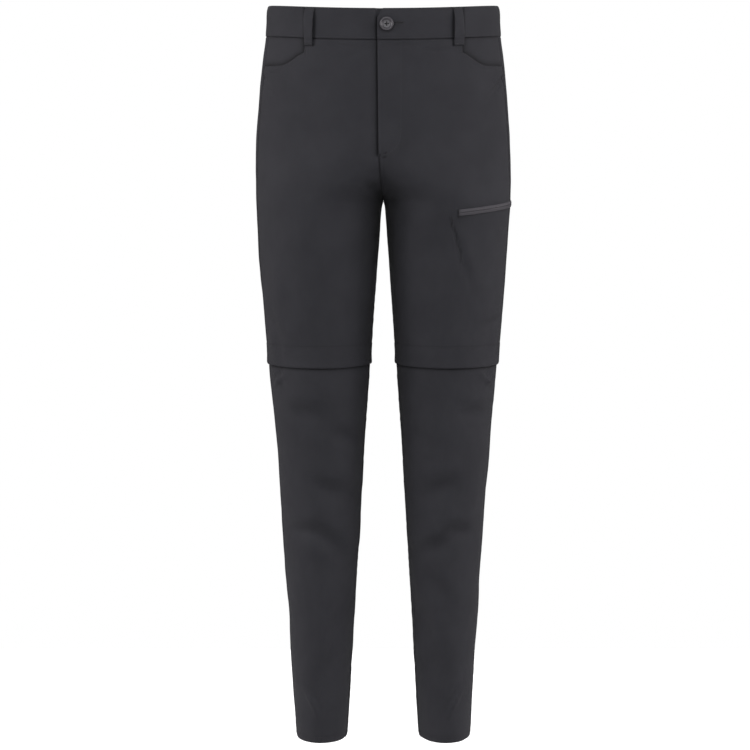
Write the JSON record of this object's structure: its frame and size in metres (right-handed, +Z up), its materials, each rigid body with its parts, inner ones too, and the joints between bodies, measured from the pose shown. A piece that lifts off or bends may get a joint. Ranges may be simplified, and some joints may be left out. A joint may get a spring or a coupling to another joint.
{
  "type": "convertible zip-off trousers",
  "caption": "Convertible trousers with legs that zip off above the knee, a button fly, belt loops, scoop hand pockets and a zipped thigh pocket, held open as when worn.",
  "frame": {"origin": "centre of the waist opening, half way up the waistband, where the wearer's waist holds the trousers", "axes": "+Z up, -Y the way the front faces, +X the wearer's left"},
  "size_m": [0.3546, 0.2469, 1.0257],
  "materials": {
    "shell_cloth": "matt charcoal stretch nylon, plain weave",
    "zip_tape": "grey woven zip tape with a fine coil",
    "button": "satin grey four-hole button",
    "zip_metal": "dark painted slider and pull"
  },
  "bodies": {
    "root": {"waistband_left": "shell_cloth", "front_left": "shell_cloth", "back_left": "shell_cloth", "pocket_facing_left": "shell_cloth", "leg_front_left": "shell_cloth", "leg_back_left": "shell_cloth", "waistband_right": "shell_cloth", "front_right": "shell_cloth", "back_right": "shell_cloth", "pocket_facing_right": "shell_cloth", "leg_front_right": "shell_cloth", "leg_back_right": "shell_cloth", "fly_shield": "shell_cloth", "belt_loop_front_left": "shell_cloth", "belt_loop_front_right": "shell_cloth", "belt_loop_back_left": "shell_cloth", "belt_loop_back_right": "shell_cloth", "belt_loop_back_centre": "shell_cloth", "knee_zip_left": "zip_tape", "knee_zip_right": "zip_tape", "thigh_zip": "zip_tape", "button": "button", "thigh_zip_slider": "zip_metal"},
    "pull": {"thigh_zip_pull": "zip_metal"}
  },
  "joints": [
    {"name": "pull_turn", "type": "hinge", "parent": "root", "child": "pull", "pos_m": [0.16562, 0.07362, -0.24952], "axis": [0.0962, 0, 0.9954], "range_deg": [0, 160]}
  ]
}
